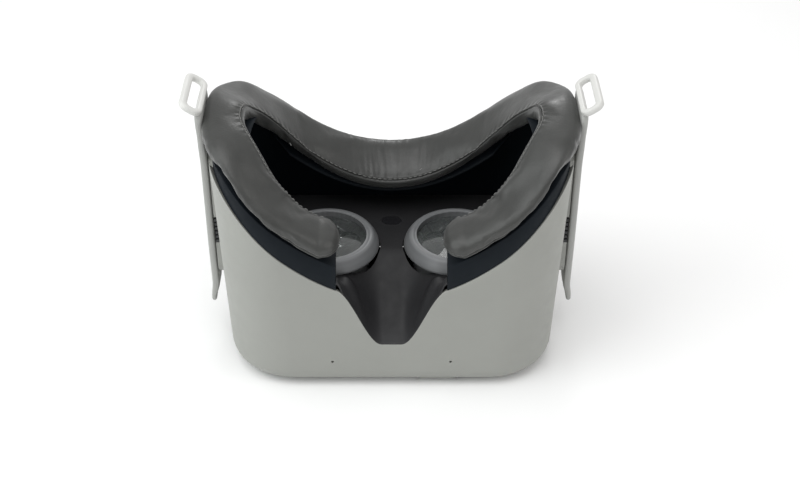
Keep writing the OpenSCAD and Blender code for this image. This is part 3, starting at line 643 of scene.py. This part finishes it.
# ---------------------------------------------------------------- face interface
def frame_section(p):
    zs, t, w = seat_z(p[0], p[1]) - 0.3, math.tan(seat_tilt(p[1])), flange_w(p[1])
    rim = rim_brow if p[1] > 0 else rim_chin
    ze, zl = rim(p[0]) + 0.3, rim(abs(p[0]) + SEAT_LIP * abs(p[2])) + 0.3
    s = lambda o: zs - (o + SEAT_LIP) * t
    inner = 1.9
    return [
        (-0.25, SEAT_BASE_Z), (0, SEAT_BASE_Z + 0.3), (0, ze - 0.3), (0.2, ze), (SEAT_LIP - 0.5, zl - 0.1),
        (SEAT_LIP - 0.12, zl + 0.1), (SEAT_LIP, zl + 0.6), (SEAT_LIP, zs - 0.9), (SEAT_LIP - 0.25, zs - 0.25),
        (SEAT_LIP - 0.9, zs), (-w + 0.8, s(w - 0.8)), (-w + 0.15, s(w) - 0.3), (-w, s(w) - 1.0),
        (-w + 0.4, s(w - 0.4) - 1.8), (-w + 1.2, s(w - 1.2) - 2.1), (-inner - 3, s(inner + 3) - 2.4),
        (-inner - 0.8, s(inner) - 3.6), (-inner, s(inner) - 5.5), (-inner, SEAT_BASE_Z + 0.3),
        (-inner + 0.3, SEAT_BASE_Z),
    ]


def make_interface():
    rings = [placed(p, frame_section(p)) for p in whole_path(TIP_X, 1.6)]
    obj = loft("interface_skin", rings)
    sharpen(obj, 45)
    return dress(obj, "interface", "interface", "interface_frame")


# ---------------------------------------------------------------- foam pad
def pad_path(half_x, half_y, r_chin, r_brow):
    """One side of the pad's edge, chin end to forehead, always with the same stations."""
    cc, cb = half_x - r_chin, half_x - r_brow
    n = STATIONS
    corners = [(FOAM_TIP_X + TIP_R, -half_y, 0, -1), (cc, -half_y, 0, -1), (half_x, r_chin - half_y, 1, 0),
               (half_x, half_y - r_brow, 1, 0), (cb, half_y, 0, 1), (0, half_y, 0, 1)]
    pts = [corners[0]] + line_run(corners[0], corners[1], n[0])
    pts += arc_run(cc, r_chin - half_y, r_chin, -90, n[1]) + line_run(corners[2], corners[3], n[2])
    pts += arc_run(cb, half_y - r_brow, r_brow, 0, n[3]) + line_run(corners[4], corners[5], n[4])
    return pts + [corners[5]]


def even(values, passes):
    """Soften a run of points; the first stays put, the last has the mirror image beyond it."""
    for _ in range(passes):
        before = values[-2]
        beyond = values + [Vector((-before.x, before.y, before.z))]
        values = [values[0]] + [(a + b * 2 + c) / 4 for a, b, c in zip(beyond, beyond[1:], beyond[2:])]
    return values


def pad_ring(outer, inner, normal, tip):
    """Crowned section between two edge points, starting under the pad's middle."""
    across = inner - outer
    mid, width = (outer + inner) / 2, across.length
    across.normalize()
    along = Vector((-normal[1], normal[0], 0))
    up = along.cross(across)
    up = up.normalized() * (1 if up.z > 0 else -1)
    pts = []
    for k in range(FOAM_N):
        t = 2 * math.pi * k / FOAM_N - math.pi / 2
        c, n = math.cos(t), math.sin(t)
        u = -tip[0] * width / 2 * math.copysign(abs(c) ** 0.75, c)
        h = FOAM_T / 2 * (1 + tip[1] * math.copysign(abs(n) ** 0.7, n)) - FOAM_T * 0.25 * (1 - tip[1])
        pts.append(mid + across * u + up * h)
    return pts


def pad_edges():
    """Outer and inner edge points of one half of the pad, with their outward normals."""
    outer = pad_path(*PAD_OUTER)
    inner = pad_path(*PAD_INNER)
    o_pts, i_pts = [], []
    for o, i in zip(outer, inner):
        z = seat_z(o[0], o[1])
        drop = math.dist(o[:2], i[:2]) * math.tan(seat_tilt(o[1]))
        o_pts.append(Vector((o[0], o[1], z)))
        i_pts.append(Vector((i[0], i[1], z - drop)))
    return even(o_pts, 12), even(i_pts, 50), [Vector((o[2], o[3], 0)) for o in outer]


def make_foam():
    o_pts, i_pts, normals = pad_edges()
    half = []
    for e in (0.02, 0.1, 0.22, 0.38, 0.56, 0.78):
        k = math.sqrt(1 - (1 - e) ** 2)
        back = Vector((TIP_R * (1 - e), 0, 0))
        half.append((o_pts[0] - back, i_pts[0] - back, normals[0], (k, k ** 0.7)))
    half += [(o, i, n, (1, 1)) for o, i, n in zip(o_pts, i_pts, normals)]
    flip = lambda v: Vector((-v.x, v.y, v.z))
    full = half + [(flip(o), flip(i), flip(n), tip) for o, i, n, tip in reversed(half[:-1])]
    along = [0.0]
    for a, b in zip(full, full[1:]):
        along.append(along[-1] + (a[0] - b[0]).length)
    total = along[-1]
    rings = [pad_ring(*f) for f in full]
    obj = loft("foam_pad", rings)
    mesh = obj.data
    at = mesh.attributes.new("along", "FLOAT", "POINT")
    ar = mesh.attributes.new("around", "FLOAT", "POINT")
    n = FOAM_N
    for i in range(len(rings) * n):
        at.data[i].value = along[i // n]
        ar.data[i].value = (i % n) / n
    pins = obj.vertex_groups.new(name="hold")
    for i in range(len(mesh.vertices)):
        at_end = i >= len(rings) * n
        under = abs((i % n) / n - 0.5) > 0.36
        pins.add([i], 1.0 if under or at_end else 0.0, "REPLACE")
    return obj, total


def inflate(obj):
    """Air pressure in the cover, held under the pad; the motion is capped."""
    cap = 0.9 * MM
    start = [v.co.copy() for v in obj.data.vertices]
    m = obj.modifiers.new("cover", "CLOTH")
    s = m.settings
    s.quality = 5
    s.mass = 0.25
    s.tension_stiffness = 18
    s.compression_stiffness = 14
    s.shear_stiffness = 6
    s.bending_stiffness = 0.8
    s.use_pressure = True
    s.uniform_pressure_force = 4
    s.shrink_min = -0.02
    s.vertex_group_mass = "hold"
    s.effector_weights.gravity = 0
    scene = bpy.context.scene
    for f in range(1, 21):
        scene.frame_set(f)
    apply_modifiers(obj)
    scene.frame_set(1)
    for v, a in zip(obj.data.vertices, start):
        d = v.co - a
        if d.length > cap:
            v.co = a + d * (cap / d.length)


def finish_foam(obj, total):
    sub = obj.modifiers.new("fine", "SUBSURF")
    sub.levels = sub.render_levels = 2
    apply_modifiers(obj)
    mesh = obj.data
    along = [d.value for d in mesh.attributes["along"].data]
    around = [d.value for d in mesh.attributes["around"].data]
    normals = [v.normal.copy() for v in mesh.vertices]
    round_mm = 2 * (FOAM_T + 22)
    for v, s, k, n in zip(mesh.vertices, along, around, normals):
        push = 0.0
        for seam, depth in (OUTER_SEAM, INNER_SEAM):
            d = (k - seam) * round_mm
            push -= depth * math.exp(-(d / 0.55) ** 2)
            push += 0.16 * math.exp(-((abs(d) - 1.7) / 0.9) ** 2)
        face = smooth((k - 0.2) / 0.12) * smooth((0.78 - k) / 0.12)
        mid = math.exp(-((s - total / 2) / 34) ** 2)
        crease = noise.noise(Vector((s * 0.42, k * 5.0, 3.1)))
        push += 0.22 * mid * face * crease
        push += 0.16 * face * noise.noise(Vector((s * 0.05, k * 4.0, 9.7)))
        puck = math.sin(s * 1.05 + 2.2 * noise.noise(Vector((s * 0.11, 1.0, 0.0))))
        inside = ((k - OUTER_SEAM[0]) * round_mm - 2.6, (INNER_SEAM[0] - k) * round_mm - 2.6)
        near = sum(math.exp(-d ** 2 / 5) for d in inside)
        push += 0.09 * near * puck
        v.co += n * (push * MM)
    sharpen(obj, 80)
    return along, around


def stitches(obj, along, around, total, seam, lift, body):
    """Row of thread stitches laid on the cover along one seam."""
    scale = 70.0
    tree = kdtree.KDTree(len(along))
    for i, (s, k) in enumerate(zip(along, around)):
        tree.insert((s, k * scale, 0), i)
    tree.balance()
    verts = obj.data.vertices

    def at(s):
        near = tree.find_n((s, seam * scale, 0), 4)
        co, no = Vector(), Vector()
        weight = 0
        for _, i, d in near:
            w = 1 / (d + 0.05)
            co += verts[i].co * w
            no += verts[i].normal * w
            weight += w
        return co / weight / MM, no.normalized()

    pitch, length, r = 3.1, 2.1, 0.24
    rows_v, rows_f = [], []
    s = 7.0
    while s < total - 7:
        mid, n = at(s)
        ahead, _ = at(s + 1.0)
        t = (ahead - mid).normalized()
        side = n.cross(t).normalized()
        base = len(rows_v)
        for i in range(5):
            u = i / 4
            size = r * (0.45 if i in (0, 4) else 1.0)
            sag = lift - 0.30 * (2 * u - 1) ** 2
            c = mid + t * (length * (u - 0.5)) + n * sag
            for j in range(6):
                a = math.pi * j / 3
                rows_v.append(tuple(c + n * (size * math.sin(a)) + side * (size * math.cos(a))))
        for i in range(4):
            for j in range(6):
                k, low, high = (j + 1) % 6, base + i * 6, base + (i + 1) * 6
                rows_f.append((low + j, low + k, high + k, high + j))
        rows_f.append(tuple(base + j for j in range(5, -1, -1)))
        rows_f.append(tuple(base + 24 + j for j in range(6)))
        s += pitch
    thread = new_object(f"stitches_{round(seam * 1000)}", rows_v, rows_f)
    thread.data.materials.append(THREAD)
    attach(thread, body)
    return thread


THREAD = plastic("thread", (0.17, 0.17, 0.165), 0.7, grain=4000, grain_depth=0.00008, spread=0.15, wear=0.0)


# ---------------------------------------------------------------- lenses
def make_lens(side, body, node):
    c = (side * LENS_X, LENS_Y)
    top = BARREL_TOP
    rim = LENS_R + 0.15
    ring = [(SKIRT_R - 0.9, PANEL_Z + 0.45), (SKIRT_R - 0.1, PANEL_Z + 0.6), (SKIRT_R + 0.2, PANEL_Z + 1.1),
            (SKIRT_R + 0.05, PANEL_Z + 1.9), (SKIRT_R - 0.4, PANEL_Z + 3.1), (SKIRT_R - 1.1, PANEL_Z + 4.5),
            (BARREL_R + 0.6, top - 1.6), (BARREL_R + 0.2, top - 0.8), (BARREL_R - 0.5, top - 0.1),
            (BARREL_R - 1.4, top + 0.25), (BARREL_R - 2.3, top + 0.25), (rim + 0.6, top - 0.1),
            (rim, top - 0.9), (rim, LENS_Z + 1.8), (rim + 0.7, LENS_Z + 1.2),
            (BARREL_R + 0.1, LENS_Z + 1.0), (BARREL_R + 0.1, PANEL_Z + 0.45)]
    bezel = lathe(f"lens_bezel_{'right' if side > 0 else 'left'}", ring, c, 160)
    sharpen(bezel, 50)
    dress(bezel, "lens_ring", body)
    profile = [(0.0, LENS_Z + 0.1), (LENS_R - 0.1, LENS_Z + 0.1), (LENS_R, LENS_Z + 0.9), (LENS_R, top - 2.8)]
    grooves = 26
    dome = lambda r: top - 2.6 + 2.2 * (1 - (r / LENS_R) ** 2)
    inner = 7.5
    for i in range(grooves):
        r0 = mix(LENS_R - 0.4, inner, i / grooves)
        r1 = mix(LENS_R - 0.4, inner, (i + 1) / grooves)
        profile += [(r0, dome(r0) - 0.02), (r1 + 0.05, dome(r1) - 0.10)]
    profile += [(inner * (1 - i / 8), dome(inner * (1 - i / 8))) for i in range(1, 8)]
    profile.append((0.0, dome(0)))
    glass = lathe_disc(f"fresnel_{'right' if side > 0 else 'left'}", profile, c)
    dress(glass, "lens", body, node)


def lathe_disc(name, profile, centre, steps=160):
    """Solid disc turned about Z from a profile that starts and ends on the axis."""
    rim = profile[1:-1]
    n = len(rim)
    verts = [(centre[0], centre[1], profile[0][1]), (centre[0], centre[1], profile[-1][1])]
    for i in range(steps):
        a = 2 * math.pi * i / steps
        verts += [(centre[0] + r * math.cos(a), centre[1] + r * math.sin(a), z) for r, z in rim]
    faces = []
    for i in range(steps):
        a, b = 2 + i * n, 2 + ((i + 1) % steps) * n
        faces.append((0, a, b))
        faces.append((1, b + n - 1, a + n - 1))
        faces += [(a + j, a + j + 1, b + j + 1, b + j) for j in range(n - 1)]
    return new_object(name, verts, faces)


# ---------------------------------------------------------------- strap clips
def rounded_rect(hx, hy, r, steps=8):
    pts = []
    cx0, cy0 = hx - r, hy - r
    for cx, cy, a0 in ((cx0, cy0, 0), (-cx0, cy0, 90), (-cx0, -cy0, 180), (cx0, -cy0, 270)):
        for i in range(steps + 1):
            a = math.radians(a0 + 90 * i / steps)
            pts.append((cx + r * math.cos(a), cy + r * math.sin(a), math.cos(a), math.sin(a)))
    return pts


def make_loop(side):
    """Strap loop: rounded bar swept round a rounded rectangle, its outer bar wider."""
    lean = math.radians(33)
    origin = Vector((LOOP_X, 0, LOOP_Z))
    u = Vector((math.cos(lean), 0, math.sin(lean)))
    w = Vector((-math.sin(lean), 0, math.cos(lean)))
    v = Vector((0, 1, 0))
    centre = origin + u * 4.4 + w * 1.7
    half_l = 16.5
    outer = rounded_rect(6.0, half_l, 4.6)
    inner = rounded_rect(2.6, half_l - 3, 2.2)
    rings = []
    for (ox, oy, _, _), (ix, iy, _, _) in zip(outer, inner):
        ix -= 0.4
        mid = ((ox + ix) / 2, (oy + iy) / 2)
        half = math.hypot(ox - ix, oy - iy) / 2
        d = ((ox - mid[0]) / half, (oy - mid[1]) / half)
        ring = []
        for k in range(14):
            a = 2 * math.pi * k / 14
            c, s = math.cos(a), math.sin(a)
            f = half * math.copysign(abs(c) ** 0.6, c)
            h = 1.65 * math.copysign(abs(s) ** 0.6, s)
            p = centre + u * (mid[0] + d[0] * f) + v * (mid[1] + d[1] * f) + w * h
            ring.append((side * p.x, p.y, p.z))
        rings.append(ring)
    return loft(f"strap_loop_{'right' if side > 0 else 'left'}", rings, close=True)


def make_clip(side, body, node):
    """Clip plate as a grid in (y, z) with soft edges, its front end curling out into a pull tab."""
    label = "right" if side > 0 else "left"
    rows = [(CLIP_LOW_Z, 5.6), (24, 6.3), (28, 6.6), (34, 6.9), (60, 8.8), (108, 8.9), (124, 11.6),
            (138, 14.6), (CLIP_TOP_Z, 13.4)]

    def half_y(z):
        for (z0, a), (z1, b) in zip(rows, rows[1:]):
            if z <= z1:
                return mix(a, b, smooth((z - z0) / (z1 - z0)) if z > 100 else (z - z0) / (z1 - z0))
        return rows[-1][1]

    zs = [CLIP_LOW_Z + 0.6 * i for i in range(6)] + [26 + 2.0 * i for i in range(58)] + [141.2, 142.0]
    rings = []
    for z in zs:
        curl = 2.3 * smooth((34.5 - z) / 12)
        t = CLIP_T - 1.3 * smooth((34 - z) / 12)
        end = min(1, math.sqrt(max(0.05, (z - 21.2) / 1.6)), math.sqrt(max(0.05, (142.5 - z) / 1.6)))
        hy = half_y(z)
        mid = CLIP_IN + curl + t / 2 + (0.1 if z < 30 else 0)
        ring = []
        for k in range(28):
            a = 2 * math.pi * k / 28
            c, s = math.cos(a), math.sin(a)
            ring.append((side * (mid + end * t / 2 * math.copysign(abs(c) ** 0.42, c)),
                         (hy - 1.2 * (1 - end)) * math.copysign(abs(s) ** 0.28, s), z))
        rings.append(ring)
    plate = loft(f"clip_plate_{label}", rings)
    sharpen(plate, 50)
    dress(plate, "pale", body, node)
    # The plate swaps the pale plastic for its darker copy: painted shade on the clip plate.
    plate.data.materials[0] = STRIP_PAINTED_SHADE
    loop = make_loop(side)
    sharpen(loop, 60)
    dress(loop, "pale", body)


# ---------------------------------------------------------------- build everything
make_shell()
make_panel()
make_interface()
foam, foam_run = make_foam()
inflate(foam)
foam_along, foam_around = finish_foam(foam, foam_run)
dress(foam, "foam", "interface", "face_foam")
for seam_at in (OUTER_SEAM[0] + 0.014, INNER_SEAM[0] - 0.018):
    stitches(foam, foam_along, foam_around, foam_run, seam_at, 0.3, "interface")
for sign, label in ((1, "right"), (-1, "left")):
    make_lens(sign, f"lens_unit_{label}", f"lens_{label}")
    make_clip(sign, f"clip_{label[0]}", f"strap_clip_{label}")

slots = {s["node"]: s["material_slot"] for s in frame["record"]["subparts"]}
BEVELS = {"arm_right": 0.5, "arm_left": 0.5, "arm_cover_right": 0.15, "arm_cover_left": 0.15,
          "power_button": 0.35, "volume_rocker": 0.4}
for node_name, obj in frame["nodes"].items():
    obj.data.materials.clear()
    obj.data.materials.append(MATERIALS[slots[node_name]])
    for poly in obj.data.polygons:
        poly.use_smooth = True
    obj.data.set_sharp_from_angle(angle=math.radians(30))
    if node_name in BEVELS:
        bevel(obj, BEVELS[node_name])


# ---------------------------------------------------------------- stage, light, camera
def floor_material():
    mat, nt, bsdf = nodes_of("pale_floor")
    nt.links.new(ramp(nt, noise_tex(nt, 3), [(0.3, 0.92), (0.7, 0.94)]), bsdf.inputs["Base Color"])
    bsdf.inputs["Roughness"].default_value = 0.6
    bsdf.inputs["Specular IOR Level"].default_value = 0.2
    return mat


def area_light(name, where, aim, size, power, colour=(1, 1, 1)):
    data = bpy.data.lights.new(name, "AREA")
    data.shape = "RECTANGLE"
    data.size, data.size_y = size
    data.energy = power
    data.color = colour
    obj = bpy.data.objects.new(name, data)
    obj.location = where
    obj.rotation_euler = (Vector(aim) - Vector(where)).to_track_quat("-Z", "Y").to_euler()
    bpy.context.scene.collection.objects.link(obj)


FLOOR_HALF = 4000
floor_corners = [(sx * FLOOR_HALF, sy * FLOOR_HALF, 0) for sx, sy in ((-1, -1), (1, -1), (1, 1), (-1, 1))]
floor = new_object("floor", floor_corners, [(0, 1, 2, 3)])
floor.location.z = -0.0002
floor.data.materials.append(floor_material())

world = bpy.data.worlds.new("studio")
bpy.context.scene.world = world
world.use_nodes = True
back = world.node_tree.nodes["Background"]
back.inputs["Color"].default_value = (1, 1, 1, 1)
back.inputs["Strength"].default_value = 0.6

centre = (0, 0, 0.07)
area_light("key_above", (-0.15, -0.25, 1.1), centre, (0.9, 0.7), 5.0)
area_light("side_left", (-0.9, -0.35, 0.55), centre, (0.9, 1.2), 6.0, (0.96, 1.0, 0.99))
area_light("side_right", (0.9, -0.3, 0.5), centre, (0.4, 0.8), 1.6, (1.0, 0.98, 0.95))
area_light("back_high", (0.1, 1.0, 0.75), centre, (0.25, 0.25), 2.0)

# The view: from the chin side, raised 35 degrees, aimed a little off the middle of the object.
elevation = math.radians(35)
distance = 0.7
pan, tilt = math.radians(-0.36), math.radians(-0.94)
lens_ratio = 1.68
target = Vector(centre)
out = Vector((0, -math.cos(elevation), math.sin(elevation)))
forward, right = -out, Vector((1, 0, 0))
up = right.cross(forward)
forward = Matrix.Rotation(pan, 3, up) @ forward
right = Matrix.Rotation(pan, 3, up) @ right
forward = Matrix.Rotation(tilt, 3, right) @ forward
up = right.cross(forward)
camera_data = bpy.data.cameras.new("camera")
camera_data.sensor_width = 36
camera_data.lens = 36 * lens_ratio
camera = bpy.data.objects.new("camera", camera_data)
basis = Matrix((right, up, -forward)).transposed().to_4x4()
camera.matrix_world = Matrix.Translation(target + out * distance) @ basis
bpy.context.scene.collection.objects.link(camera)
bpy.context.scene.camera = camera
bpy.context.scene.view_settings.view_transform = "Standard"
